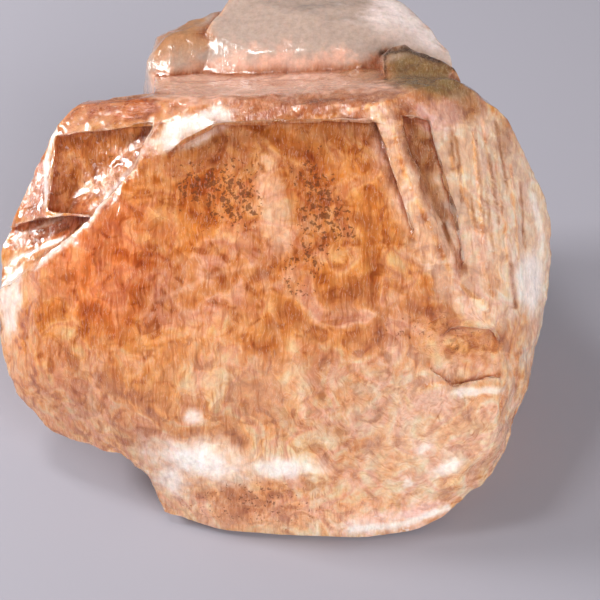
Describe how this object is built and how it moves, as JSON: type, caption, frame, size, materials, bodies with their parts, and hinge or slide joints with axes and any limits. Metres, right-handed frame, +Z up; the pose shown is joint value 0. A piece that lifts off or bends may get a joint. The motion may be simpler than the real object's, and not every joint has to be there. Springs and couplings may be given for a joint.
{
  "type": "rough sunstone",
  "caption": "Rough lump of orange, see-through feldspar with a broad smooth break in front, stepped ledges, a shell-shaped break and a knob behind its top, resting on a flat break.",
  "frame": {"origin": "middle of the stone's plan, on the level of its flat base", "axes": "+Z up from the base, +X along the longest side, -Y towards the broad front break"},
  "size_m": [0.027, 0.025, 0.017],
  "materials": {
    "orange_feldspar": "broken, glassy to slightly rough, see-through"
  },
  "bodies": {
    "root": {"sunstone": "orange_feldspar"}
  },
  "joints": []
}
